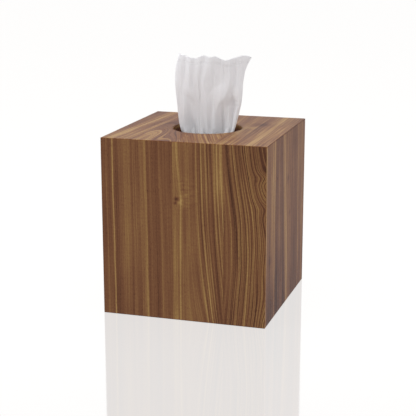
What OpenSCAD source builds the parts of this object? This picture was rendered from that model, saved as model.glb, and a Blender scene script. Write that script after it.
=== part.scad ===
// Wooden tissue box: a slip-over cover of five mitred boards with a round hole in its top,
// over a cube carton of facial tissues, with one tissue standing up through the hole.
// Millimetres, +Z up, front face towards -Y. The origin is the middle of the footprint,
// on the surface that the box stands on.

/* [Cover] */
// Width of the cover, left to right
body_w = 130; // [120:1:150]
// Depth of the cover, front to back
body_d = 130; // [120:1:150]
// Height of the cover
body_h = 139.5; // [130:0.5:160]
// Thickness of the boards
board_t = 9; // [7:0.5:12]
// Rounding of the outer edges
edge_r = 0.8; // [0.4:0.1:2]
// Diameter of the hole in the top board
hole_d = 55; // [50:1:62]
// Rounding of the hole's two rims
rim_r = 0.8; // [0.4:0.1:2]

/* [Carton] */
// Gap between the carton and the boards, on each side
carton_gap = 0.8; // [0.5:0.1:1.5]
// Free height between the carton and the top board
carton_headroom = 3.5; // [2:0.5:8]
// Thickness of the paperboard
card_t = 0.6; // [0.4:0.1:0.8]
// Length of the opening in the carton's top
opening_l = 72; // [62:1:76]
// Width of the opening in the carton's top
opening_w = 46; // [36:1:54]
// Depth of the flap glued on the outside of the bottom
outer_flap = 72; // [60:1:90]
// Depth of the flap under it, from the opposite wall
inner_flap = 66; // [60:1:90]
// Depth of the two side flaps inside the bottom
bottom_dust_flap = 38; // [25:1:45]
// Depth of the two side flaps inside the top
top_dust_flap = 15; // [10:1:16]
// Width of the glued tab inside the back left corner
glue_tab = 14; // [10:1:20]
// Thickness of the window film
film_t = 0.2; // [0.1:0.1:0.3]
// Width of the film glued to the card round the opening
film_margin = 8; // [6:1:10]

/* [Tissues] */
// Gap between the clip of tissues and the carton's walls
clip_gap = 1; // [0.9:0.1:2]
// Free height between the clip and the film
clip_headroom = 8.2; // [7.8:0.1:12]
// Slit between the clip's two legs
clip_slit = 1; // [0.6:0.1:2]

/* [Standing tissue] */
// Height of the standing tissue above the cover
tissue_rise = 58.5; // [50:0.5:72]
// Gap between the tissue's sides and the hole
tissue_side_gap = 6; // [5:0.5:9]
// Width where the film grips the tissue
neck_w = 34; // [28:1:36]
// Width half-way up
middle_w = 52; // [46:1:58]
// Width along the top edge
top_w = 59; // [50:1:64]
// Sideways lean of the top edge to the right
top_lean = 8; // [0:0.5:9]
// How far the front corner stands out past the fold behind it, at the top
corner_reach = 3.5; // [0:0.5:5]
// Depth of the waves in the top edge
edge_wave = 4; // [0:0.5:6]
// How much lower each layer's top edge stands than the one before it
layer_drop = 3.5; // [2:0.5:6]
// Pleats across each of the three layers
pleats = 5; // [4:1:6]
// Depth of the pleats at the neck, to each side
neck_pleat = 1.9; // [1:0.1:2.2]
// Depth of the pleats at the top, to each side
top_pleat = 1.5; // [0.6:0.1:2.2]
// Distance between the layers at the neck
neck_layer_gap = 1.8; // [1.4:0.1:2]
// Distance between the layers at the top
top_layer_gap = 6; // [4:0.5:8]
// How far the outer layers bow apart at the top, to each side
top_bow = 6; // [0:0.5:9]
// Modelled thickness of the tissue
tissue_t = 0.6; // [0.4:0.1:0.8]
// Length of tissue that lies on the clip under the film
tail_l = 26; // [15:1:34]
// Clearance between the tissue and what it lies on or passes through
tissue_fit = 0.3; // [0.2:0.1:0.6]

/* [Hidden] */
$fn = 96;
eps = 1;

cavity_w = body_w - 2 * board_t;
cavity_d = body_d - 2 * board_t;
cavity_h = body_h - board_t;

carton_w = cavity_w - 2 * carton_gap;
carton_d = cavity_d - 2 * carton_gap;
carton_h = cavity_h - carton_headroom;
inside_w = carton_w - 2 * card_t;
inside_d = carton_d - 2 * card_t;
floor_z = 3 * card_t;
film_z = carton_h - card_t - film_t;

clip_w = inside_w - 2 * clip_gap;
clip_r = inside_d / 2 - clip_gap;
clip_top = film_z - clip_headroom;
arch_z = clip_top - clip_r;

// The tissue's own lengths, measured along it from where the film grips it.
neck_z = film_z + film_t;
rise_l = body_h + tissue_rise - neck_z;
rim_k = (body_h - neck_z) / rise_l;
rim_w = hole_d - 2 * tissue_side_gap;
tail_pleat = 0.7 * neck_pleat;
tail_layer_gap = 0.85 * neck_layer_gap;
tail_half = tail_layer_gap + tail_pleat + tissue_t / 2;
neck_half = neck_layer_gap + neck_pleat + tissue_t / 2;
tail_r = clip_r + tissue_fit + tail_half;
bend_r = (pow(neck_z - arch_z, 2) - pow(tail_r, 2)) / (2 * tail_r);
tail_start = atan2(bend_r, neck_z - arch_z);
bend_angle = 90 - tail_start;
bend_l = bend_r * bend_angle * PI / 180;
slot_w = 2 * (neck_half + tissue_fit);
slot_l = neck_w + slot_w;

// Columns across the tissue and rows along it.
run_steps = 25;
turn_steps = 3;
columns = 3 * run_steps + 2 * turn_steps;
tail_rows = 3;
bend_rows = 4;
rise_rows = 10;
rows = tail_rows + bend_rows + rise_rows;

// A rectangle with exact round corners, centred.
module rounded_rectangle(size, r) {
  square([size.x - 2 * r, size.y], center = true);
  square([size.x, size.y - 2 * r], center = true);
  for (x = [-1, 1], y = [-1, 1])
    translate([x * (size.x / 2 - r), y * (size.y / 2 - r)]) circle(r);
}

// A slot with round ends, centred, along X.
module slot(length, width) {
  square([length - width, width], center = true);
  for (x = [-1, 1])
    translate([x * (length - width) / 2, 0]) circle(d = width);
}

// The cover's outside as one block, with all its outer edges rounded.
module cover_block() {
  intersection() {
    linear_extrude(body_h) rounded_rectangle([body_w, body_d], edge_r);
    translate([0, body_d / 2, body_h / 2]) rotate([90, 0, 0])
      linear_extrude(body_d) rounded_rectangle([body_w, body_h], edge_r);
    translate([-body_w / 2, 0, body_h / 2]) rotate([90, 0, 90])
      linear_extrude(body_w) rounded_rectangle([body_d, body_h], edge_r);
  }
}

// One upright board, mitred along its two sides and its top.
// It faces -Y, stands a half depth away from the middle and is as long as the cover there.
module wall_board(length, half_depth) {
  intersection() {
    linear_extrude(body_h)
      polygon([
        [-length / 2, -half_depth], [length / 2, -half_depth],
        [length / 2 - board_t, board_t - half_depth], [board_t - length / 2, board_t - half_depth]
      ]);
    translate([-length / 2, 0, 0]) rotate([90, 0, 90])
      linear_extrude(length)
        polygon([
          [-half_depth, 0], [board_t - half_depth, 0],
          [board_t - half_depth, cavity_h], [-half_depth, body_h]
        ]);
  }
}

module front_panel() {
  color("saddlebrown") intersection() {
    cover_block();
    wall_board(body_w, body_d / 2);
  }
}

module back_panel() {
  color("saddlebrown") intersection() {
    cover_block();
    rotate([0, 0, 180]) wall_board(body_w, body_d / 2);
  }
}

module left_panel() {
  color("sienna") intersection() {
    cover_block();
    rotate([0, 0, -90]) wall_board(body_d, body_w / 2);
  }
}

module right_panel() {
  color("sienna") intersection() {
    cover_block();
    rotate([0, 0, 90]) wall_board(body_d, body_w / 2);
  }
}

// The top board's section across one direction, mitred down to the cavity.
module top_section(outer, inner) {
  polygon([
    [-inner / 2, cavity_h], [inner / 2, cavity_h],
    [outer / 2, body_h], [-outer / 2, body_h]
  ]);
}

// The hole with its two rounded rims, turned from half of its section.
module hole_cutter() {
  hole_r = hole_d / 2;
  rotate_extrude() difference() {
    translate([0, cavity_h - eps]) square([hole_r + rim_r, board_t + 2 * eps]);
    translate([hole_r, cavity_h + rim_r]) square([2 * rim_r, board_t - 2 * rim_r]);
    for (z = [cavity_h + rim_r, body_h - rim_r])
      translate([hole_r + rim_r, z]) circle(rim_r);
  }
}

module top_panel() {
  color("peru") difference() {
    intersection() {
      cover_block();
      translate([0, body_d / 2, 0]) rotate([90, 0, 0])
        linear_extrude(body_d) top_section(body_w, cavity_w);
      translate([-body_w / 2, 0, 0]) rotate([90, 0, 90])
        linear_extrude(body_w) top_section(body_d, cavity_d);
    }
    hole_cutter();
  }
}

// A flat flap of card, from one corner.
module flap(x, y, z, w, d) {
  translate([x, y, z]) cube([w, d, card_t]);
}

module carton() {
  left = -carton_w / 2;
  front = -carton_d / 2;
  tab_z = film_z - card_t;
  color("whitesmoke") {
    // The four walls.
    linear_extrude(carton_h) difference() {
      square([carton_w, carton_d], center = true);
      square([inside_w, inside_d], center = true);
    }
    // The bottom: the outer flap from the front, the one from the back over it, the dust flaps.
    flap(left, front, 0, carton_w, outer_flap);
    flap(left, -front - inner_flap, card_t, carton_w, inner_flap);
    for (x = [left, -left - bottom_dust_flap])
      flap(x, front, 2 * card_t, bottom_dust_flap, carton_d);
    // The top, with its opening, and the dust flaps that hold the film's ends.
    difference() {
      flap(left, front, carton_h - card_t, carton_w, carton_d);
      translate([0, 0, film_z]) linear_extrude(card_t + film_t + eps) slot(opening_l, opening_w);
    }
    for (x = [left, -left - top_dust_flap])
      flap(x, front, tab_z, top_dust_flap, carton_d);
    // The glued tab that closes the walls into a tube.
    translate([left, -front - 2 * card_t, 0]) cube([glue_tab, card_t, tab_z]);
  }
}

module carton_film() {
  color("lightblue") translate([0, 0, film_z])
    linear_extrude(film_t) difference() {
      square([opening_l + 2 * film_margin, opening_w + 2 * film_margin], center = true);
      slot(slot_l, slot_w);
    }
}

// The interfolded tissues, bent over into two legs that stand in the carton.
module tissue_stack() {
  color("white") translate([-clip_w / 2, 0, 0]) rotate([90, 0, 90])
    linear_extrude(clip_w) difference() {
      intersection() {
        union() {
          translate([0, arch_z]) circle(clip_r);
          translate([-clip_r, floor_z]) square([2 * clip_r, arch_z - floor_z]);
        }
        translate([-clip_r, floor_z]) square([2 * clip_r, clip_top - floor_z]);
      }
      translate([-clip_slit / 2, floor_z - eps]) square([clip_slit, arch_z - floor_z + eps]);
      translate([0, arch_z]) circle(d = clip_slit);
    }
}

// A smooth curve through the points p, from their slopes, at x.
function slope(p, i) =
  let (a = p[max(i - 1, 0)], b = p[min(i + 1, len(p) - 1)])
  (b.y - a.y) / (b.x - a.x);
function curve(p, x, i = 0) =
  i < len(p) - 2 && x > p[i + 1].x ? curve(p, x, i + 1) :
  let (w = p[i + 1].x - p[i].x, t = (x - p[i].x) / w, u = 1 - t)
  u * u * ((1 + 2 * t) * p[i].y + t * w * slope(p, i))
  + t * t * ((1 + 2 * u) * p[i + 1].y - u * w * slope(p, i + 1));

// How far the tissue reaches to each side at the share k of its height above the film.
function left_reach(k) = curve([
  [0, neck_w / 2], [rim_k, rim_w / 2], [0.5, middle_w / 2 - top_lean / 3],
  [0.85, top_w / 2 - 0.6 * top_lean], [1, top_w / 2 - top_lean]
], k);
function right_reach(k) = curve([
  [0, neck_w / 2], [rim_k, rim_w / 2], [0.5, middle_w / 2 + top_lean / 3],
  [0.85, top_w / 2 + 0.4 * top_lean], [1, top_w / 2 + top_lean]
], k);

// A value that changes from the tail, over the neck, to the top edge.
function along(s, tail, neck, top) =
  s > 0 ? neck + (top - neck) * s / rise_l : neck + (tail - neck) * min(1, -s / bend_l);

// The three layers seen from above: the front one from its corner at the right, the middle one
// back from the left and the last one behind them, with round turns of radius r between them.
function layers(i, left, right, corner, r) =
  let (turn_1 = run_steps + turn_steps, run_2 = turn_1 + run_steps, turn_2 = run_2 + turn_steps)
  i <= run_steps ? [corner + (left + r - corner) * i / run_steps, -2 * r] :
  i <= turn_1 ? let (a = 180 * (i - run_steps) / turn_steps)
    [left + r - r * sin(a), -r - r * cos(a)] :
  i <= run_2 ? [left + r + (right - left - 2 * r) * (i - turn_1) / run_steps, 0] :
  i <= turn_2 ? let (a = 180 * (i - run_2) / turn_steps)
    [right - r + r * sin(a), r - r * cos(a)] :
  [right - r + (left - right + r) * (i - turn_2) / run_steps, 2 * r];

// The pleats are the same in all layers, so that they nest. Each ridge lies where the phase is a
// whole number, and x runs from -1 at the left to 1 at the right.
function phase_at_rim(x) =
  curve([[-1.4, -1], [-0.92, 0], [-0.45, 1], [0.1, 2], [0.65, 3], [0.97, 4], [1.3, 5]], x);
function phase_at_top(x) =
  curve([[-1.1, -1], [-0.68, 0], [-0.37, 1], [-0.09, 2], [0.33, 3], [0.7, 4], [1.15, 5]], x);
function pleat(x, k) = -cos(72 * pleats * (phase_at_rim(x) * (1 - k) + phase_at_top(x) * k));

// How low the top edge dips across the tissue: 0 at its tips and 1 in its notch.
function dip(x) = curve([
  [-1, 0.25], [-0.69, 0.6], [-0.37, 0.55], [-0.22, 0.05], [-0.04, 0.3], [0.1, 0.2],
  [0.3, 1], [0.53, 0.7], [0.8, 0.05], [1.15, 0.45]
], x);

// One point of the tissue's section: across it and through it, at the length s along it.
function section_point(i, s) =
  let (
    k = max(0, s / rise_l),
    left = -left_reach(k), right = right_reach(k),
    gap = along(s, tail_layer_gap, neck_layer_gap, top_layer_gap),
    depth = along(s, tail_pleat, neck_pleat, top_pleat),
    p = layers(i, left, right, right + corner_reach * k, gap / 2),
    x = (2 * p.x - left - right) / (right - left),
    bow = top_bow * k * (1 - x * x) * p.y / gap
  )
  [p.x, p.y + bow + depth * pleat(x, k)];

// The tissue's middle line, seen from the side: straight up from the neck, and below it a bend
// on to the arch of the clip. Each gives the place and the direction through the tissue.
function line_point(s) =
  s >= 0 ? [0, neck_z + s] :
  s >= -bend_l ? let (a = -s / bend_r * 180 / PI)
    [bend_r * (1 - cos(a)), neck_z - bend_r * sin(a)] :
  let (a = tail_start + (-s - bend_l) / tail_r * 180 / PI)
  [tail_r * sin(a), arch_z + tail_r * cos(a)];
function line_normal(s) =
  s >= 0 ? [1, 0] :
  s >= -bend_l ? let (a = -s / bend_r * 180 / PI) [cos(a), sin(a)] :
  let (a = tail_start + (-s - bend_l) / tail_r * 180 / PI) [sin(a), cos(a)];

// The length along the tissue at a row, with the wavy top edge.
function row_length(i, j) =
  j <= tail_rows ? -bend_l - (tail_l - bend_l) * (1 - j / tail_rows) :
  j <= tail_rows + bend_rows ? -bend_l * (1 - (j - tail_rows) / bend_rows) :
  let (k = (j - tail_rows - bend_rows) / rise_rows, p = layers(i, -1, 1, 1.1, 0.1))
  k * (rise_l - k * k * (edge_wave * dip(p.x) + layer_drop * (p.y / 0.2 + 1)));

// A point on one side of the tissue's middle surface.
function tissue_point(i, j, side) =
  let (
    s = row_length(i, j),
    p = section_point(i, s),
    d = section_point(min(i + 1, columns), s) - section_point(max(i - 1, 0), s),
    q = p + side * tissue_t / 2 * [-d.y, d.x] / norm(d),
    c = line_point(s),
    n = line_normal(s)
  )
  [q.x, c[0] + n[0] * q.y, c[1] + n[1] * q.y];

module pulled_tissue() {
  across = columns + 1;
  layer = across * (rows + 1);
  points = [
    for (side = [-1, 1], j = [0 : rows], i = [0 : columns]) tissue_point(i, j, side)
  ];
  function at(i, j, side) = side * layer + j * across + i;
  faces = concat(
    [for (j = [0 : rows - 1], i = [0 : columns - 1])
      [at(i, j, 0), at(i, j + 1, 0), at(i + 1, j, 0)]],
    [for (j = [0 : rows - 1], i = [0 : columns - 1])
      [at(i + 1, j, 0), at(i, j + 1, 0), at(i + 1, j + 1, 0)]],
    [for (j = [0 : rows - 1], i = [0 : columns - 1])
      [at(i, j, 1), at(i + 1, j, 1), at(i, j + 1, 1)]],
    [for (j = [0 : rows - 1], i = [0 : columns - 1])
      [at(i + 1, j, 1), at(i + 1, j + 1, 1), at(i, j + 1, 1)]],
    [for (i = [0 : columns - 1]) [at(i, 0, 0), at(i + 1, 0, 0), at(i + 1, 0, 1), at(i, 0, 1)]],
    [for (i = [0 : columns - 1])
      [at(i, rows, 0), at(i, rows, 1), at(i + 1, rows, 1), at(i + 1, rows, 0)]],
    [for (j = [0 : rows - 1]) [at(0, j, 0), at(0, j, 1), at(0, j + 1, 1), at(0, j + 1, 0)]],
    [for (j = [0 : rows - 1])
      [at(columns, j, 0), at(columns, j + 1, 0), at(columns, j + 1, 1), at(columns, j, 1)]]
  );
  color("gainsboro") polyhedron(points, faces);
}

front_panel();
back_panel();
left_panel();
right_panel();
top_panel();
carton();
carton_film();
tissue_stack();
pulled_tissue();
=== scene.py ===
"""A wooden tissue box over its carton of tissues, with one tissue standing up through the hole.

The frame is the CAD part's: the origin is the middle of the footprint, +Z is up and the front face
looks towards -Y. The camera, the lamps and the floor are in metres. The sizes of the box and of the
tissues are in millimetres, and MM turns them into metres.
"""

import math

import bpy
import numpy as np
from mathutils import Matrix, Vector, noise


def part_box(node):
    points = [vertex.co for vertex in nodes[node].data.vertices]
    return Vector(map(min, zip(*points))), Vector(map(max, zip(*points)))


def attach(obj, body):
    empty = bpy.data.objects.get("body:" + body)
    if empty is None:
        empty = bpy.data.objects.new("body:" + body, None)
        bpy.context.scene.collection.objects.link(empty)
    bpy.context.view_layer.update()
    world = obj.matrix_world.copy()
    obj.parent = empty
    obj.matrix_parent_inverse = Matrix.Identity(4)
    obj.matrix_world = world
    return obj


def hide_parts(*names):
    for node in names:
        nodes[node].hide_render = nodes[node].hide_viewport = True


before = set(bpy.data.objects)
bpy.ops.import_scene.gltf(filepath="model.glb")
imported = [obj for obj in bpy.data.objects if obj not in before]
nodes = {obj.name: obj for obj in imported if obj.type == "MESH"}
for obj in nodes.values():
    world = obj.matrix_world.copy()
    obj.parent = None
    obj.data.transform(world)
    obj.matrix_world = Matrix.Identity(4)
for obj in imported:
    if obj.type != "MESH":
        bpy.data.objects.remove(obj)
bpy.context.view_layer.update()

MM = 0.001


def size_of(node):
    """The lowest and highest corner of a CAD node, in millimetres."""
    low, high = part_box(node)
    return np.array(low) / MM, np.array(high) / MM


front_low, front_high = size_of("front_panel")
HALF_W, HALF_D, HEIGHT = front_high[0], -front_low[1], front_high[2]
FILM_TOP = size_of("carton_film")[1][2]


def add_object(name, data):
    thing = bpy.data.objects.new(name, data)
    bpy.context.scene.collection.objects.link(thing)
    return thing


def new_material(name):
    material = bpy.data.materials.new(name)
    material.use_nodes = True
    tree = material.node_tree
    return material, tree, tree.nodes["Principled BSDF"]


# Camera, light and floor.

CAMERA_PLACE = (0.25948, -0.84803, 0.29596)
CAMERA_YAW = -0.2965
CAMERA_PITCH = 0.2456
LENS_MM = 98.11
SENSOR_MM = 36
# The sines of the heights over the horizon up to which the studio is bright, and where it is dim.
BRIGHT_TO, DIM_FROM = 0.34, 0.7
DIM_SHARE = 0.25
LAMP_TARGET = (0, 0, 0.1)
# Each square lamp's name, place, width in metres and power in watts.
LAMPS = [
    ("key", (-1.1, -0.9, 0.8), 0.7, 8.0),
    ("fill", (1.3, -0.5, 0.7), 0.9, 4.0),
    ("overhead", (0, 0.1, 1.3), 0.9, 12.0),
]
FLOOR_HALF = 6.0
FLOOR_GLOW = 1.075
FLOOR_MIRROR_SHARE = 0.35


def make_camera():
    data = bpy.data.cameras.new("camera")
    data.sensor_width = SENSOR_MM
    data.lens = LENS_MM
    camera = add_object("camera", data)
    level = math.cos(CAMERA_PITCH)
    forward = Vector((
        math.sin(CAMERA_YAW) * level, math.cos(CAMERA_YAW) * level, -math.sin(CAMERA_PITCH)
    ))
    camera.location = CAMERA_PLACE
    camera.rotation_euler = forward.to_track_quat("-Z", "Y").to_euler()
    bpy.context.scene.camera = camera


def make_world():
    """A white studio, bright to about 20 degrees over the horizon and dim from about 45."""
    world = bpy.data.worlds.new("white_studio")
    world.use_nodes = True
    tree = world.node_tree
    coordinates = tree.nodes.new("ShaderNodeTexCoord")
    split = tree.nodes.new("ShaderNodeSeparateXYZ")
    fall = tree.nodes.new("ShaderNodeMapRange")
    fall.interpolation_type = "SMOOTHSTEP"
    fall.inputs["From Min"].default_value = BRIGHT_TO
    fall.inputs["From Max"].default_value = DIM_FROM
    fall.inputs["To Min"].default_value = 1.0
    fall.inputs["To Max"].default_value = DIM_SHARE
    tree.links.new(coordinates.outputs["Generated"], split.inputs[0])
    tree.links.new(split.outputs["Z"], fall.inputs["Value"])
    tree.links.new(fall.outputs["Result"], tree.nodes["Background"].inputs["Strength"])
    tree.nodes["Background"].inputs["Color"].default_value = (1, 1, 1, 1)
    bpy.context.scene.world = world


def make_lamp(name, place, width, watts):
    data = bpy.data.lights.new(name, "AREA")
    data.shape = "SQUARE"
    data.size = width
    data.energy = watts
    lamp = add_object(name, data)
    lamp.location = place
    toward = Vector(LAMP_TARGET) - Vector(place)
    lamp.rotation_euler = toward.to_track_quat("-Z", "Y").to_euler()
    # The glossy floor shows no picture of the lamps.
    lamp.visible_glossy = False


def make_floor():
    """A white floor that glows evenly and mirrors a share of what stands on it."""
    mesh = bpy.data.meshes.new("floor")
    far = FLOOR_HALF
    corners = [(-far, -far, 0), (far, -far, 0), (far, far, 0), (-far, far, 0)]
    mesh.from_pydata(corners, [], [(0, 1, 2, 3)])
    material, tree, body = new_material("white_acrylic")
    body.inputs["Base Color"].default_value = (0.05, 0.05, 0.05, 1)
    body.inputs["Roughness"].default_value = 0.8
    body.inputs["Specular IOR Level"].default_value = 0
    body.inputs["Emission Color"].default_value = (1, 0.99, 0.98, 1)
    body.inputs["Emission Strength"].default_value = FLOOR_GLOW
    gloss = tree.nodes.new("ShaderNodeBsdfGlossy")
    gloss.inputs["Roughness"].default_value = 0.05
    mix = tree.nodes.new("ShaderNodeMixShader")
    mix.inputs["Fac"].default_value = FLOOR_MIRROR_SHARE
    tree.links.new(body.outputs[0], mix.inputs[1])
    tree.links.new(gloss.outputs[0], mix.inputs[2])
    tree.links.new(mix.outputs[0], tree.nodes["Material Output"].inputs["Surface"])
    mesh.materials.append(material)
    floor = add_object("floor", mesh)


make_camera()
make_world()
for lamp in LAMPS:
    make_lamp(*lamp)
make_floor()
bpy.context.scene.view_settings.view_transform = "Standard"


# Numbers in a node tree.

class Num:
    """A number in a material's nodes, so that a formula reads as a formula."""

    def __init__(self, tree, socket):
        self.tree = tree
        self.socket = socket

    def math(self, operation, *others):
        node = self.tree.nodes.new("ShaderNodeMath")
        node.operation = operation
        for place, value in zip(node.inputs, (self, *others)):
            feed(self.tree, place, value)
        return Num(self.tree, node.outputs[0])

    def __add__(self, other):
        return self.math("ADD", other)

    def __sub__(self, other):
        return self.math("SUBTRACT", other)

    def __mul__(self, other):
        return self.math("MULTIPLY", other)

    def __truediv__(self, other):
        return self.math("DIVIDE", other)

    __radd__ = __add__

    def __rsub__(self, other):
        return (self * -1) + other

    def above(self, level):
        """1 where the number is above the level, and 0 elsewhere."""
        return self.math("GREATER_THAN", level)

    def step(self, start, end, low=0.0, high=1.0):
        """A smooth change from low at start to high at end."""
        node = self.tree.nodes.new("ShaderNodeMapRange")
        node.interpolation_type = "SMOOTHSTEP"
        feed(self.tree, node.inputs["Value"], self)
        node.inputs["From Min"].default_value = start
        node.inputs["From Max"].default_value = end
        node.inputs["To Min"].default_value = low
        node.inputs["To Max"].default_value = high
        return Num(self.tree, node.outputs["Result"])

    def bump(self, middle, width):
        """A round hill, 1 high at the middle, that is gone about two widths away."""
        away = (self - middle) / width
        return (away * away * -1).math("EXPONENT")

    def ramp(self, stops):
        """A colour or a grey that changes with the number, from stops of (place, value)."""
        low, high = stops[0][0], stops[-1][0]
        node = self.tree.nodes.new("ShaderNodeValToRGB")
        feed(self.tree, node.inputs[0], (self - low) / (high - low))
        elements = node.color_ramp.elements
        while len(elements) < len(stops):
            elements.new(0.5)
        for element, (place, value) in zip(elements, stops):
            element.position = (place - low) / (high - low)
            element.color = value if isinstance(value, tuple) else (value, value, value, 1)
        return node.outputs["Color"]


def feed(tree, place, value):
    """Link a number or a socket to a place in the tree, or set a plain value there."""
    if isinstance(value, Num):
        value = value.socket
    if isinstance(value, bpy.types.NodeSocket):
        tree.links.new(value, place)
    else:
        place.default_value = value


def blend(low, high, share):
    return low + (high - low) * share


def vector(tree, x, y, z):
    node = tree.nodes.new("ShaderNodeCombineXYZ")
    for place, value in zip(node.inputs, (x, y, z)):
        feed(tree, place, value)
    return node.outputs[0]


def grain_noise(x, y, z, detail, roughness=0.5):
    """Noise from -1 to 1 with cells one unit wide, at a point given as three numbers."""
    tree = x.tree
    node = tree.nodes.new("ShaderNodeTexNoise")
    feed(tree, node.inputs["Vector"], vector(tree, x, y, z))
    node.inputs["Scale"].default_value = 1.0
    node.inputs["Detail"].default_value = detail
    node.inputs["Roughness"].default_value = roughness
    return (Num(tree, node.outputs["Fac"]) - 0.5) * 2


def place_mm(tree):
    """The point in the frame's own axes, in millimetres."""
    coordinates = tree.nodes.new("ShaderNodeTexCoord")
    split = tree.nodes.new("ShaderNodeSeparateXYZ")
    tree.links.new(coordinates.outputs["Object"], split.inputs[0])
    return [Num(tree, socket) * 1000 for socket in split.outputs]


def add_bump(tree, shader, height_mm, strength):
    node = tree.nodes.new("ShaderNodeBump")
    node.inputs["Strength"].default_value = strength
    node.inputs["Distance"].default_value = MM
    feed(tree, node.inputs["Height"], height_mm)
    tree.links.new(node.outputs[0], shader.inputs["Normal"])


def srgb(red, green, blue):
    """A colour given as a screen shows it, from 0 to 255, as linear light."""
    def linear(value):
        value /= 255
        return value / 12.92 if value <= 0.04045 else ((value + 0.055) / 1.055) ** 2.4
    return (linear(red), linear(green), linear(blue), 1)


# Walnut.

# The boards' width, the length over which their lines drift, and the radius within which the wall
# of the hole lies, in millimetres.
BOARD_W = 130
DRIFT_LENGTH = 140
WALL_RADIUS = 28

WALNUT = [
    (0.0, srgb(51, 29, 19)), (0.25, srgb(80, 49, 33)), (0.45, srgb(101, 65, 44)),
    (0.62, srgb(117, 81, 53)), (0.78, srgb(131, 98, 60)), (0.9, srgb(146, 115, 70)),
    (1.0, srgb(160, 130, 81)),
]
# The boards that are seen at a low angle are lighter and redder where they are dark: this is
# painted reflection haze of the white studio at that angle.
HAZED_WALNUT = [
    (0.0, srgb(60, 31, 24)), (0.25, srgb(88, 53, 40)), (0.45, srgb(108, 70, 51)),
    (0.62, srgb(121, 83, 57)), (0.78, srgb(133, 97, 64)), (0.9, srgb(146, 112, 73)),
    (1.0, srgb(160, 127, 85)),
]


def straight_flow(left, first, more):
    """Lines that drift to the right on the way down, by the first value at the stave's left edge
    and by more at each millimetre from there."""
    def flow(across, down):
        share = down / DRIFT_LENGTH
        return left + (across - left - share * first) / (share * more + 1)
    return flow


def stave_tone(stave, shift, across, down, depth, bend):
    """The tone of a stave, from 0 for the darkest wood to 1 for the lightest.

    The stave says where its left edge is, how its lines flow, and its tones, which are stops of
    (place from the left edge, tone). It weighs its fine lines and its rings, which are thin and
    dark. It may also say how much its lines sway, how dense its rings are, and the line from which
    on it has rings. shift picks the stave's own part of the noise.
    """
    left = stave["left"]
    line = stave["flow"](across, down) + bend * stave.get("sway", 1.0)
    bands = Num(line.tree, line.ramp([(left + place, tone) for place, tone in stave["tones"]]))
    broad = grain_noise(line * 0.7 + shift, down / 220, depth / 90, 1.0, 0.6)
    fine = grain_noise(line * 1.2 + shift, down / 90, depth / 30, 2.0, 0.75)
    late = grain_noise(line * stave.get("dense", 0.8) - shift, down / 260, depth / 90, 1.0)
    rings = (1 - late.math("ABSOLUTE") * 4.5).math("MAXIMUM", 0)
    if "rings_from" in stave:
        rings = rings * line.step(stave["rings_from"] - 2, stave["rings_from"] + 2)
    return bands + (broad + fine * 2.4) * stave["lines"] - rings * stave["rings"]


def walnut(name, axes, staves, seed, marks=None, figure=1.0, gloss=0.1, colours=WALNUT):
    """A board glued from staves of walnut.

    axes gives, from the frame's axes, the way across the board from its left edge, the way along
    the grain from its upper edge, and the depth below its face. marks gives the board's own marks,
    and on some boards painted light and shade, from the place and the shimmer. figure weighs the
    patches and the shimmer across the grain, gloss says how strongly the board shines, and colours
    gives the colour of each tone.
    """
    material, tree, shader = new_material(name)
    across, down, depth = axes(*place_mm(tree))
    sway = grain_noise(across / 26 + seed * 3.1, down / 55, depth / 20 + seed, 1.0) * 0.7
    ripple = grain_noise(across / 5 + seed, down / 9, depth / 8 + seed * 2, 1.0) * 0.16
    bend = sway + ripple + depth * 0.6
    tone = None
    for index, stave in enumerate(staves):
        own = stave_tone(stave, index * 17.3 + seed * 5.7, across, down, depth, bend)
        tone = own if tone is None else blend(tone, own, across.above(stave["left"]))
    patches = grain_noise(across / 22 + seed, down / 45, depth / 20, 1.0)
    shimmer = grain_noise(across / 7 + seed, down / 1.6, depth / 10, 2.0)
    fibre = grain_noise(across / 0.6, down / 1.8, depth / 0.5 + seed, 2.0, 0.65)
    pores = grain_noise(across / 0.75 + seed, down / 4, depth / 0.8, 1.0).step(0.28, 0.55)
    tone = tone + (patches * 0.05 + shimmer * 0.03) * figure + fibre * 0.16 - pores * 0.18
    # The glued seams at the board's mitred edges.
    tone = tone - (across.bump(0, 0.3) + across.bump(BOARD_W, 0.3) + down.bump(0, 0.3)) * 0.12
    if marks:
        tone = tone + marks(across, down, depth, shimmer)
    feed(tree, shader.inputs["Base Color"], tone.ramp(colours))
    feed(tree, shader.inputs["Roughness"], 0.42 + fibre * 0.05 + pores * 0.12)
    shader.inputs["Specular IOR Level"].default_value = gloss
    add_bump(tree, shader, fibre * 0.012 - pores * 0.05, 0.7)
    return material


# The boards' figures are drawn in millimetres from the upper left corner.

def knot_flow(across, down):
    """The third stave of the front: lines that pass round a knot and bend to the right below."""
    bend = down * (down * 0.00047 + 0.007) * across.step(62, 86)
    bulge = down.step(0, 55) * across.bump(62, 4.5) * 3.6
    round_knot = down.bump(44.5, 6) * across.bump(60.5, 5)
    return across - bend - bulge - round_knot * (across - 60.3).math("SIGN") * 0.9


def cathedral_flow(across, down):
    """The right stave of the front: lines that swing out to the right edge above, and end there
    in rounded tips."""
    edge = BOARD_W - across
    swing = down.step(-10, 70, 1.0, 0.0)
    tips = down.bump(23, 4) + down.bump(46, 6) * 0.7
    wave = (down / 7.5 + across / 9).math("SINE") * down.step(55, 80) * edge.step(30, 0)
    low = down.step(92, 146) * 3
    lean = (15 - edge * 0.25) * swing + wave * 0.5 + low
    return BOARD_W - edge * edge / (edge + 4) + lean - tips * edge.step(16, 0) * 3.5


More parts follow.
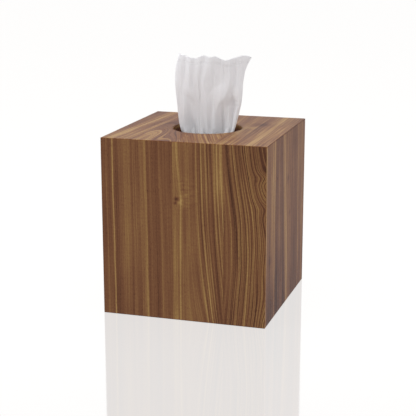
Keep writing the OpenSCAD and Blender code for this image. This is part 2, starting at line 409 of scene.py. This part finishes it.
def front_marks_and_contact_shade(across, down, depth, shimmer):
    """A small knot in the third stave, the curl beside it, darker patches lower down, and painted
    contact shade along the bottom edge, where the board stands on the floor.
    """
    spot = down.bump(43.4, 1.5) * across.bump(60.3, 1.8)
    spot = spot + down.bump(46.6, 1.1) * across.bump(59.2, 1.3) * 0.8
    sheen = down.bump(44.5, 4.5) * across.bump(65, 3.4)
    sheen = sheen + down.bump(46, 1.2) * across.bump(62.4, 1.2)
    curl = down.bump(38, 9) * across.bump(69, 5) * shimmer
    dark = down.step(85, 135) * across.bump(19, 7) + down.bump(17, 4) * across.bump(BOARD_W, 4)
    # The bump at the bottom edge is painted contact shade where the board meets the floor.
    dark = dark + down.bump(HEIGHT, 0.5) * 1.5 + down.step(25, 60) * across.bump(93.5, 4) * 1.2
    dark = dark + down.step(80, 135) * across.bump(111, 17) * 0.38
    return 0.03 + sheen * 0.16 - spot * 0.5 + curl * 0.35 - dark * 0.16


FRONT_STAVES = [
    {
        "left": 0.0, "flow": straight_flow(0, 1.0, 0.01), "lines": 0.09, "rings": 0.1,
        "tones": [
            (-6, 0.46), (0, 0.5), (3, 0.5), (4.2, 0.62), (5.2, 0.49), (8.2, 0.52), (8.8, 0.74),
            (9.4, 0.96), (10.1, 0.5), (11.5, 0.46), (14, 0.54), (17, 0.6), (22, 0.54),
        ],
    },
    {
        "left": 17.0, "flow": straight_flow(17, 0.4, 0.08), "lines": 0.09, "rings": 0.1,
        "tones": [
            (-3, 0.6), (0, 0.63), (3, 0.69), (5.5, 0.68), (6.8, 0.62), (7.4, 0.46), (8.2, 0.64),
            (10, 0.62), (12, 0.53), (14, 0.63), (15.5, 0.64), (16.6, 0.72), (18, 0.82),
            (18.8, 0.72), (19.6, 0.46), (21.5, 0.58), (24, 0.51), (26, 0.44), (28.5, 0.51),
            (29.6, 0.66), (31, 0.52), (34, 0.54), (37, 0.5), (40, 0.46), (46, 0.52),
        ],
    },
    {
        "left": 57.0, "flow": knot_flow, "lines": 0.15, "rings": 0.34, "dense": 1.2, "sway": 0.5,
        "rings_from": 75,
        "tones": [
            (-5, 0.67), (0, 0.68), (2, 0.68), (3, 0.92), (4.2, 0.64), (7, 0.57), (12, 0.62),
            (15, 0.56), (17, 0.5), (17.9, 0.64), (18.6, 1.0), (19.4, 0.6), (20.2, 0.72),
            (21, 0.54), (21.7, 0.64), (22.4, 1.0), (23.1, 0.6), (24, 0.74), (24.8, 0.52),
            (25.8, 0.96), (26.6, 0.56), (28, 0.7), (29.4, 0.48), (31, 0.8), (32.2, 1.0),
            (33.3, 0.66), (34.6, 1.04), (35.9, 0.68), (37.4, 1.02), (39, 0.78), (45, 0.66),
        ],
    },
    {
        "left": 97.0, "flow": cathedral_flow, "lines": 0.22, "rings": 0.55, "dense": 1.0,
        "sway": 1.0, "rings_from": 107,
        "tones": [
            (-4, 0.5), (0, 0.48), (4, 0.52), (8, 0.5), (11, 0.68), (12, 0.56), (15, 0.62),
            (16, 0.88), (17, 0.58), (18.5, 0.8), (20, 0.6), (22, 0.8), (23.5, 0.6), (26, 0.84),
            (28, 0.62), (31, 0.86), (33, 0.66), (36, 0.84), (38, 0.7), (44, 0.76), (50, 0.7),
        ],
    },
]


def fan(down):
    """How far the lines before the hole lean to the right."""
    return (down - 85).math("MAXIMUM", 0) * 0.3


def tongue_flow(left, middle, first, last):
    """Rounded lines about a tongue that begins between the places first and last down the board,
    and is open below."""
    def flow(across, down):
        aside = across - middle
        behind = down.step(first, last, 15.0, 0.0)
        return (aside * aside + behind * behind).math("SQRT") + left
    return flow


def top_tongue_flow(across, down):
    """The second stave of the top: a light tongue whose right side leans away from it."""
    return tongue_flow(27, 32.5, 40, 122)(across, down) - fan(down) * across.step(40, 56)


def fan_flow(across, down):
    """The third stave of the top, whose lines lean to the right before the hole."""
    return across - fan(down) - down / DRIFT_LENGTH * (across * 0.1 - 1)


def right_marks_and_haze(across, down, depth, shimmer):
    """Painted reflection haze that lightens the board at the top and fades downwards, so that it is
    darker towards the bottom; darker still low down near its left; and a few dark flecks.
    """
    dark = down.bump(134, 26) * across.bump(18, 11)
    flecks = down.bump(38, 3) * across.bump(70, 4) + down.bump(67, 3) * across.bump(77, 3)
    flecks = flecks + down.bump(90, 4) * across.bump(13, 5)
    seam = down.bump(0, 0.45) + across.bump(BOARD_W, 0.6)
    # Painted reflection haze: 0.1 lightens the whole board, and fall darkens it again towards the
    # bottom.
    fall = down.step(20, 80) * 0.04 + down.step(60, 140) * 0.17
    return 0.1 - fall - dark * 0.36 - flecks * 0.24 - seam * 0.34


def top_marks_and_wall_shade(across, down, depth, shimmer):
    """The figure right of the hole, the dark seam at the right, the board lighter towards the front
    and the right, and the wall of the hole with painted light and shade: light at its rim, dark
    below and darker on its right."""
    figure = down.bump(57, 6) * across.bump(99, 6) - down.bump(41, 6) * across.bump(104, 8)
    seam = across.bump(BOARD_W, 0.45) * 0.4 + down.bump(BOARD_W, 0.3) * 0.12
    x, y = across - BOARD_W / 2, down - BOARD_W / 2
    wall = (WALL_RADIUS - (x * x + y * y).math("SQRT")).above(0) * depth.above(0.2)
    front = down.step(60, 120) * 0.09 + across.step(70, 100) * 0.11
    # Painted light and shade on the wall of the hole: lighter at the rim, darker deeper down, and
    # darker on its right side.
    shade = depth.step(0.2, 5, 0.4, -0.2) - across.step(60, 90) * 0.15
    return 0.04 + figure * 0.26 + front - seam + wall * shade


def plain_stave(left, drift, tones, lines=0.12, rings=0.16, sway=1.4):
    """A stave of nearly straight lines, with the two values of their drift."""
    return {
        "left": left, "flow": straight_flow(left, *drift), "tones": tones,
        "lines": lines, "rings": rings, "sway": sway,
    }


RIGHT_STAVES = [
    plain_stave(0, (0.5, 0.01), [
        (-6, 0.7), (0, 0.94), (2.5, 0.84), (3.5, 0.5), (6, 0.62), (8, 0.46), (10, 0.6), (12, 0.46),
        (14, 0.72), (17, 0.6), (20, 0.82), (22.5, 0.64), (25, 0.88), (28, 0.78), (32, 0.7),
    ], 0.28, 0.2, 0.9),
    plain_stave(28.5, (0.2, 0.57), [
        (-4, 0.36), (0, 0.34), (2, 0.48), (4, 0.32), (6.5, 0.5), (8.5, 0.34), (11, 0.66),
        (12.5, 0.4), (15, 0.5), (17, 0.32), (19, 0.48), (21, 0.34), (23, 0.6), (24.5, 1.0),
        (26.5, 0.78), (28, 1.0), (30, 0.62), (32, 0.5), (34, 0.68), (36, 0.44), (39, 0.66),
        (42, 0.44), (44, 0.62), (46.5, 0.46), (50, 0.54), (57, 0.56),
    ], 0.3, 0.26, 0.8),
    plain_stave(84, (4, 0.03), [
        (-6, 0.4), (0, 0.36), (3, 0.52), (6, 0.34), (9, 0.5), (12, 0.34), (15, 0.56), (18, 0.46),
        (20, 0.86), (23, 0.52), (26, 0.7), (29, 0.52), (33, 0.8), (37, 0.6), (41, 0.54),
        (48, 0.44),
    ], 0.28, 0.26, 1.0),
]

BACK_STAVES = [
    plain_stave(0, (3, 0.05), [
        (-6, 0.6), (0, 0.64), (7, 0.5), (12, 0.74), (14, 0.48), (22, 0.56), (30, 0.62),
    ]),
    plain_stave(28, (1, 0.02), [
        (-4, 0.4), (0, 0.42), (9, 0.48), (17, 0.4), (20, 0.78), (22, 0.46), (30, 0.5), (44, 0.5),
    ]),
    {
        "left": 68.0, "flow": tongue_flow(68, 87, 25, 150), "lines": 0.16, "rings": 0.26,
        "tones": [
            (0, 0.84), (3, 0.76), (5, 0.52), (6.5, 0.72), (8, 0.46), (10, 0.68), (12, 0.5),
            (14, 0.72), (17, 0.52), (20, 0.66), (24, 0.54), (30, 0.6),
        ],
    },
    plain_stave(108, (1, 0.02), [(-4, 0.5), (0, 0.52), (10, 0.44), (16, 0.64), (26, 0.5)]),
]

LEFT_STAVES = [
    plain_stave(0, (1, 0.02), [(-6, 0.5), (0, 0.5), (8, 0.62), (14, 0.46), (22, 0.5)]),
    plain_stave(20, (5, 0.08), [
        (-6, 0.7), (0, 0.74), (8, 0.6), (13, 0.84), (16, 0.6), (26, 0.7), (42, 0.6),
    ], 0.12),
    plain_stave(60, (2, 0.02), [
        (-4, 0.44), (0, 0.4), (6, 0.54), (12, 0.5), (16, 0.84), (18, 0.46), (24, 0.56),
        (30, 0.42), (33, 0.66), (36, 0.48), (44, 0.5),
    ], 0.14, 0.22),
    plain_stave(100, (-3, -0.04), [
        (-6, 0.6), (0, 0.6), (6, 0.76), (12, 0.56), (20, 0.66), (34, 0.5),
    ], 0.12),
]

TOP_STAVES = [
    plain_stave(0, (-9, 0.0), [
        (-9, 0.5), (0, 0.58), (4, 0.46), (7, 0.58), (9, 0.5), (11, 0.7), (14, 0.84), (17, 0.94),
        (19, 0.8), (20.5, 0.54), (22.5, 0.66), (24, 0.54), (27, 0.86), (29, 0.66), (31, 0.54),
        (33, 0.68), (36, 0.56), (42, 0.6),
    ], 0.3, 0.24, 1.2),
    {
        "left": 27.0, "flow": top_tongue_flow, "lines": 0.3, "rings": 0.3, "sway": 1.8,
        "tones": [
            (0, 0.88), (5, 0.84), (6.5, 0.64), (8, 0.42), (9.5, 0.62), (11, 0.38), (12.5, 0.6),
            (14, 0.4), (15.5, 0.62), (18, 0.44), (20, 0.64), (24, 0.54), (30, 0.62), (36, 0.58),
        ],
    },
    {
        "left": 60.0, "flow": fan_flow, "lines": 0.34, "rings": 0.34, "sway": 1.4,
        "tones": [
            (-20, 0.6), (-12, 0.7), (-6, 0.6), (0, 0.74), (4, 0.82), (7, 0.64), (11, 0.76),
            (15, 0.66), (19, 0.84), (23, 0.66), (28, 0.6),
        ],
    },
    plain_stave(87, (0.5, 0.01), [
        (-4, 0.5), (0, 0.56), (4, 0.62), (6, 0.62), (7, 0.76), (8, 0.6), (12, 0.5), (15, 0.6),
        (20, 0.52), (24, 0.62), (26, 0.76), (28, 1.0), (29.6, 0.84), (31, 0.64), (34, 0.7),
        (36, 0.54), (38, 0.64), (42, 0.5),
    ], 0.38, 0.28, 1.2),
]


def assign(node, material):
    mesh = nodes[node].data
    mesh.materials.clear()
    mesh.materials.append(material)


assign("front_panel", walnut(
    "walnut_front", lambda x, y, z: (x + HALF_W, HEIGHT - z, y + HALF_D), FRONT_STAVES, 1.0,
    front_marks_and_contact_shade, 1.8,
))
assign("right_panel", walnut(
    "walnut_right", lambda x, y, z: (y + HALF_D, HEIGHT - z, HALF_W - x), RIGHT_STAVES, 2.3,
    right_marks_and_haze, 3.0, 0.04, HAZED_WALNUT,
))
assign("back_panel", walnut(
    "walnut_back", lambda x, y, z: (HALF_W - x, HEIGHT - z, HALF_D - y), BACK_STAVES, 3.7
))
assign("left_panel", walnut(
    "walnut_left", lambda x, y, z: (HALF_D - y, HEIGHT - z, x + HALF_W), LEFT_STAVES, 5.1
))
assign("top_panel", walnut(
    "walnut_top", lambda x, y, z: (x + HALF_W, HALF_D - y, HEIGHT - z), TOP_STAVES, 6.4,
    top_marks_and_wall_shade, 3.5, 0.07, HAZED_WALNUT,
))


# Carton and film.

def make_card():
    material, tree, shader = new_material("white_lined_card")
    x, y, z = place_mm(tree)
    fibre = grain_noise(x / 0.8, y / 0.8, z / 0.8, 4.0, 0.6)
    cloud = grain_noise(x / 14, y / 14, z / 14, 2.0)
    tone = fibre * 0.03 + cloud * 0.03 + 0.5
    colour = tone.ramp([(0.4, srgb(214, 208, 196)), (0.6, srgb(238, 236, 230))])
    feed(tree, shader.inputs["Base Color"], colour)
    feed(tree, shader.inputs["Roughness"], 0.62 + fibre * 0.06)
    shader.inputs["Specular IOR Level"].default_value = 0.35
    add_bump(tree, shader, fibre * 0.02, 0.6)
    return material


def make_film():
    material, tree, shader = new_material("clear_film")
    x, y, z = place_mm(tree)
    crease = grain_noise(x / 9, y / 5, z, 3.0, 0.6)
    colour = crease.ramp([(-1, srgb(226, 232, 236)), (1, srgb(244, 247, 249))])
    feed(tree, shader.inputs["Base Color"], colour)
    feed(tree, shader.inputs["Alpha"], 0.2 + crease * 0.05)
    feed(tree, shader.inputs["Roughness"], 0.14 + crease * 0.05)
    add_bump(tree, shader, crease * 0.25, 0.6)
    return material


assign("carton", make_card())
assign("carton_film", make_film())


# The standing tissue.

# The same sizes as in the part's source, in millimetres.
TISSUE_RISE = 58.5
RISE_L = HEIGHT + TISSUE_RISE - FILM_TOP
RIM_K = (HEIGHT - FILM_TOP) / RISE_L
LAYER_DROP, TOP_BOW = 3.5, 6.0
NECK_GAP, TOP_GAP = 1.8, 6.0
NECK_HALF, PLEAT_SPACING = 17, 6.8
ARCH_Z = 64.4
TAIL_R, BEND_R, BEND_L, TAIL_L = 57.06, 5.15, 7.67, 26.0
TAIL_START = math.radians(4.75)
# The scene's own sizes, in millimetres: how far the front corner stands out at the top, past the
# creases and past the fold behind it, and how deep the pleats at the film and the loose waves of
# the layers behind are, to each side.
CORNER_OUT, CORNER_REACH = 1.6, 5.5
PLEAT_DEPTH, WAVE_DEPTH = 2.2, 3.6
# The thickness and the width of the real sheet, in millimetres.
SHEET_T = 0.22
FLAT_WIDTH = 208
# Places in the folded section are counted in steps: each layer has a run and each fold a turn.
RUN, TURN = 25.0, 3.0


def curve(points, x):
    """A smooth line through the points, from their slopes, as in the part's source."""
    points = np.array(points, float)
    px, py = points[:, 0], points[:, 1]
    own = np.arange(len(px))
    before, after = np.maximum(own - 1, 0), np.minimum(own + 1, len(px) - 1)
    slope = (py[after] - py[before]) / (px[after] - px[before])
    i = np.clip(np.searchsorted(px, x, side="left") - 1, 0, len(px) - 2)
    w = px[i + 1] - px[i]
    t = (x - px[i]) / w
    u = 1 - t
    return (u * u * ((1 + 2 * t) * py[i] + t * w * slope[i])
            + t * t * ((1 + 2 * u) * py[i + 1] - u * w * slope[i + 1]))


def layers(i, left, right, corner, r):
    """The section of the three layers: the place across, and the place through in units of r."""
    turn_1, run_2, turn_2 = RUN + TURN, 2 * RUN + TURN, 2 * (RUN + TURN)
    a = np.pi * np.clip((i - RUN) / TURN, 0, 1)
    b = np.pi * np.clip((i - run_2) / TURN, 0, 1)
    x = np.where(i <= RUN, corner + (left + r - corner) * i / RUN, left + r - r * np.sin(a))
    y = np.where(i <= RUN, -2.0, -1 - np.cos(a))
    middle = (i > turn_1) & (i <= run_2)
    x = np.where(middle, left + r + (right - left - 2 * r) * (i - turn_1) / RUN, x)
    y = np.where(middle, 0.0, y)
    late = i > run_2
    x = np.where(late, right - r + r * np.sin(b), x)
    y = np.where(late, 1 - np.cos(b), y)
    last = i > turn_2
    x = np.where(last, right - r + (left - right + r) * (i - turn_2) / RUN, x)
    y = np.where(last, 2.0, y)
    return x, y


# The creases of the standing tissue from left to right. Each gives its place across, and how far
# it stands out towards the viewer, at these heights over the box's top.
CREASE_LEVELS = (0, 19, 28, 38, 55)
CREASES = [
    [(-18.6, 1.4), (-17.0, 1.1), (-18.6, 0.5), (-19.8, 0.3), (-18.2, 0.3)],
    [(-9.6, -2.7), (-13.4, 0.3), (-17.4, 0.4), (-17.2, -0.3), (-15.0, -0.7)],
    [(-6.0, 0.6), (-9.6, -0.5), (-12.4, 1.1), (-13.0, 0.9), (-11.0, 0.8)],
    [(-3.8, 0.1), (-6.3, -0.7), (-7.9, -0.3), (-9.1, -0.2), (-7.5, -0.2)],
    [(-2.8, 0.0), (-4.7, -0.7), (-5.0, -0.4), (-5.4, 0.1), (-3.1, 0.4)],
    [(-1.6, -0.1), (-2.8, -0.5), (-3.2, -0.5), (-2.9, -0.3), (0.5, -0.2)],
    [(1.4, 0.8), (1.5, 0.8), (0.0, 0.6), (0.2, 0.6), (6.6, 0.8)],
    [(3.6, 0.0), (5.3, 0.1), (4.0, -0.1), (12.4, -0.9), (14.2, -0.9)],
    [(8.1, 1.4), (10.1, 1.2), (16.6, 1.1), (19.9, 0.9), (21.1, 0.5)],
    [(12.4, -3.4), (13.8, -0.4), (17.9, 0.5), (21.2, 0.3), (22.3, 0.2)],
    [(17.9, -0.3), (18.2, -2.0), (19.6, -0.8), (22.0, -0.2), (23.1, -0.2)],
    [(20.4, -1.0), (22.7, -3.2), (21.4, -1.2), (23.2, -0.6), (24.3, -0.5)],
    [(22.2, 0.6), (26.2, 0.9), (26.0, 0.7), (27.0, 0.5), (30.2, 0.5)],
]
# The height of the tissue's top edge over the box's top, at places across.
TOP_EDGE = [
    (-24, 58.6), (-21, 58.4), (-17, 57.8), (-11.5, 56.5), (-5, 56.3), (-0.5, 58.4), (5.5, 57.4),
    (10, 57.9), (16.8, 55.1), (24, 57.0), (31, 58.9), (35, 58.0), (38, 56.5), (44, 55),
]
# How far the front layer reaches to each side, at shares of the way from the film to the top.
LEFT_REACH = [(0, 17), (0.18, 22.4), (0.45, 24.4), (0.71, 25.8), (0.9, 24.2), (1, 22.4)]
RIGHT_REACH = [
    (0, 17), (0.18, 22.6), (0.33, 25.4), (0.5, 28.0), (0.72, 28.9), (0.86, 30.8), (1, 35.0),
]


def crease_line(height, left, corner):
    """The creases' places across and how far they stand out, at a height over the box's top."""
    places = []
    for crease in CREASES:
        aside = [(level, place) for level, (place, out) in zip(CREASE_LEVELS, crease)]
        outward = [(level, out) for level, (place, out) in zip(CREASE_LEVELS, crease)]
        places.append((curve(aside, height), curve(outward, height)))
    return [(left - 4, -0.6), (left, -0.2), *places, (corner, 0.0), (corner + 4, -0.4)]


def wrinkle(shape, *scaled):
    """Noise from -1 to 1 at the points whose coordinates are given as three arrays."""
    points = np.stack([np.broadcast_to(part, shape) for part in scaled], -1).reshape(-1, 3)
    return np.array([noise.noise(Vector(point)) for point in points]).reshape(shape)


def grid_faces(rows, wide, first=0, closed=False):
    """The faces between points that are numbered row by row from the first one."""
    faces = []
    for j in range(rows - 1):
        near, far = first + j * wide, first + (j + 1) * wide
        for i in range(wide if closed else wide - 1):
            k = (i + 1) % wide
            faces.append((near + i, near + k, far + k, far + i))
    return faces


def soft_mesh(name, points_mm, faces):
    mesh = bpy.data.meshes.new(name)
    mesh.from_pydata((np.array(points_mm) * MM).tolist(), [], faces)
    mesh.update()
    mesh.shade_smooth()
    return mesh


def tissue_columns():
    """The steps across the folded sheet, closest together on the front layer and in the folds."""
    ends = [0, RUN, RUN + TURN, 2 * RUN + TURN, 2 * RUN + 2 * TURN, 3 * RUN + 2 * TURN]
    counts = [121, 15, 86, 15, 86]
    parts = [np.linspace(a, b, count)[:-1] for a, b, count in zip(ends, ends[1:], counts)]
    return np.concatenate([*parts, [ends[-1]]])


def crease_depth(heights, across, left, right, corner):
    """How far the creases stand out. They are squeezed together below the box's top."""
    out = np.zeros_like(across)
    full = curve(LEFT_REACH, RIM_K) + curve(RIGHT_REACH, RIM_K)
    for j, height in enumerate(heights):
        squeeze = min((right[j, 0] - left[j, 0]) / full, 1)
        line = crease_line(np.clip(height, 0, 56), left[j, 0] / squeeze, corner[j, 0] / squeeze)
        out[j] = curve(line, across[j] / squeeze)
    return out


def tissue_points(col, s):
    """The sheet's points in mm, from the step across and the length up from the film's grip."""
    k = np.clip(s / RISE_L, 0, 1)
    below = np.clip(-s / BEND_L, 0, 1)
    gap = np.where(s > 0, NECK_GAP + (TOP_GAP - NECK_GAP) * k, NECK_GAP * (1 - 0.15 * below))
    left, corner = -curve(LEFT_REACH, k), curve(RIGHT_REACH, k) + CORNER_OUT * k
    right = corner - CORNER_REACH * k
    across, layer = layers(col, left, right, corner, gap / 2)
    x = (2 * across - left - right) / (right - left)
    behind = np.clip((layer + 2) / 2, 0, 1)
    # The creases, with more pleats where the film holds the sheet.
    out = crease_depth(s[:, 0] + FILM_TOP - HEIGHT, across, left, right, corner)
    tight = np.clip(1 - k / RIM_K, 0, 1)
    pleats = np.cos(2 * np.pi * (across + NECK_HALF) / PLEAT_SPACING)
    out = out * (1 - 0.5 * tight) + PLEAT_DEPTH * pleats * tight * (1 - 0.4 * below)
    # The pleats and the looser waves of the layers behind.
    own = behind * (0.5 + 1.6 * k) * np.cos(across * 0.78 + 1.5 * layer)
    through = layer * gap / 2 + TOP_BOW * k * (1 - x * x) * layer / 2 - out + own
    wave = wrinkle(x.shape, x * 2.2 + 5, k * 1.4, layer * 1.1)
    through = through + WAVE_DEPTH * behind * k * wave
    # The top edge, lower on the layers behind.
    edge = curve(TOP_EDGE, across) + HEIGHT - FILM_TOP
    drop = RISE_L - edge + LAYER_DROP * np.clip(layer + 1, 0, 3) * 2 / 3
    length = np.where(s > 0, s - drop * k ** 3, s)
    # Fine wrinkles that run up the paper.
    through = through + 0.4 * wrinkle(x.shape, across * 0.5, length * 0.045, layer * 3)
    through = through + 0.24 * wrinkle(x.shape, across * 1.1, length * 0.09, layer * 3 + 9)
    # The middle line: straight up from the film, bent back below it, and laid over the clip.
    angle = np.clip(-length, 0, BEND_L) / BEND_R
    y, z = BEND_R * (1 - np.cos(angle)), FILM_TOP + np.maximum(length, 0) - BEND_R * np.sin(angle)
    n_y, n_z = np.cos(angle), np.sin(angle)
    on_arch = length < -BEND_L
    turn = TAIL_START + (-length - BEND_L) / TAIL_R
    y = np.where(on_arch, TAIL_R * np.sin(turn), y)
    z = np.where(on_arch, ARCH_Z + TAIL_R * np.cos(turn), z)
    n_y = np.where(on_arch, np.sin(turn), n_y)
    n_z = np.where(on_arch, np.cos(turn), n_z)
    return np.stack([across, y + n_y * through, z + n_z * through], -1).reshape(-1, 3)


def make_standing_tissue():
    columns = tissue_columns()
    rows = np.concatenate([np.linspace(-TAIL_L, 0, 26)[:-1], np.linspace(0, RISE_L, 86)])
    col, s = np.meshgrid(columns, rows)
    faces = grid_faces(len(rows), len(columns))
    mesh = soft_mesh("standing_tissue", tissue_points(col, s), faces)
    uv = mesh.uv_layers.new(name="along_paper")
    flat = np.stack([col / columns[-1] * FLAT_WIDTH, s + TAIL_L], -1).reshape(-1, 2) * MM
    loops = np.zeros(len(mesh.loops), int)
    mesh.loops.foreach_get("vertex_index", loops)
    uv.data.foreach_set("uv", flat[loops].ravel())
    tissue = add_object("standing_tissue", mesh)
    solid = tissue.modifiers.new("thickness", "SOLIDIFY")
    solid.thickness = SHEET_T * MM
    solid.offset = 0
    mesh.materials.append(make_tissue_material("soft_tissue", along_paper, crimp))
    return tissue


def make_tissue_material(name, flat_place, extra_height=None):
    """Soft crepe paper. flat_place gives, from the node tree, the place on the paper in mm, and
    extra_height gives more relief from the place along the paper."""
    material, tree, shader = new_material(name)
    u, v = flat_place(tree)
    fibre = grain_noise(u / 0.5, v / 0.9, u * 0, 4.0, 0.65)
    cloud = grain_noise(u / 9, v / 12, u * 0, 2.0)
    tone = cloud * 0.3 + fibre * 0.2 + 0.5
    colour = tone.ramp([(0.0, srgb(218, 217, 220)), (1.0, srgb(232, 231, 234))])
    feed(tree, shader.inputs["Base Color"], colour)
    shader.inputs["Roughness"].default_value = 0.95
    shader.inputs["Specular IOR Level"].default_value = 0.1
    shader.inputs["Sheen Weight"].default_value = 0.1
    crepe = (v * 5.2 + fibre * 1.2).math("SINE")
    height = fibre * 0.05 + crepe * 0.02
    if extra_height:
        height = height + extra_height(v)
    add_bump(tree, shader, height, 0.8)
    return material


def along_paper(tree):
    """The place across and along the flat sheet, in millimetres."""
    coordinates = tree.nodes.new("ShaderNodeTexCoord")
    split = tree.nodes.new("ShaderNodeSeparateXYZ")
    tree.links.new(coordinates.outputs["UV"], split.inputs[0])
    return [Num(tree, socket) * 1000 for socket in list(split.outputs)[:2]]


def crimp(v):
    """Two pressed lines just below the upper edge."""
    edge = TAIL_L + RISE_L - v
    return (edge.bump(6.2, 0.35) + edge.bump(4.8, 0.35)) * -0.18


standing = make_standing_tissue()
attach(standing, "root")
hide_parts("pulled_tissue")


# The clip of tissues in the carton.

CLIP_LAYERS = 18
CLIP_SLIT = 1.0
LAYER_GAP, LAYER_SAG = 0.1, 0.25
# By how much the layers may fall short of the clip's sides and of its foot.
UNEVEN_SIDE, UNEVEN_FOOT = 0.7, 0.4


def layer_section(half, inner, thick):
    """A layer's section, round at its ends: places along X and out from the slit."""
    right, left = (half - UNEVEN_SIDE * noise.random() for _ in range(2))
    edge = 0.45 * thick
    quarter = np.linspace(0, np.pi / 2, 5)
    section = []
    for reach, upper, side in ((right, 0, 1), (right, 1, 1), (left, 1, -1), (left, 0, -1)):
        for angle in quarter if upper == (side > 0) else quarter[::-1]:
            x = side * (reach - edge * (1 - np.cos(angle)))
            out = edge * (1 - np.sin(angle))
            section.append((x, inner + (thick - LAYER_GAP - out if upper else out)))
    return section


def make_clip():
    """The interfolded tissues, bent over into two legs, in layers of a few tissues each."""
    low, high = size_of("tissue_stack")
    half, outer = high[0], high[1]
    thick = (outer - CLIP_SLIT / 2) / CLIP_LAYERS
    bend_z = high[2] - outer
    # The steps along a layer run down a leg from -1 to 0, round the bend to 1, and down to 2.
    steps = np.concatenate([
        np.linspace(-1, 0, 9)[:-1], np.linspace(0, 1, 37), np.linspace(1, 2, 9)[1:]
    ])
    turn = np.pi * np.clip(steps, 0, 1)
    leg = np.maximum(-steps, steps - 1).clip(0)
    out_y, out_z = -np.cos(turn), np.sin(turn)
    points, faces = [], []
    for index in range(CLIP_LAYERS):
        section = layer_section(half, CLIP_SLIT / 2 + index * thick, thick)
        wide, first = len(section), len(points)
        for y, z, down in zip(out_y, out_z, leg):
            for x, r in section:
                wave = noise.noise(Vector((x / 16, r / 9, down * 5 + z * 3)))
                radius = max(r + LAYER_SAG * (wave - 1), CLIP_SLIT / 2)
                foot = low[2] + UNEVEN_FOOT * noise.random() if down > 0.99 else low[2]
                height = bend_z + z * radius if down == 0 else bend_z - down * (bend_z - foot)
                points.append((x, y * radius, height))
        last = first + (len(steps) - 1) * wide
        faces += grid_faces(len(steps), wide, first, closed=True)
        faces.append([first + i for i in range(wide)][::-1])
        faces.append([last + i for i in range(wide)])
    clip = add_object("tissue_clip", soft_mesh("tissue_clip", points, faces))
    material = make_tissue_material("stacked_tissue", lambda tree: place_mm(tree)[:2])
    clip.data.materials.append(material)
    return clip


noise.seed_set(7)
clip = make_clip()
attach(clip, "root")
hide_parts("tissue_stack")
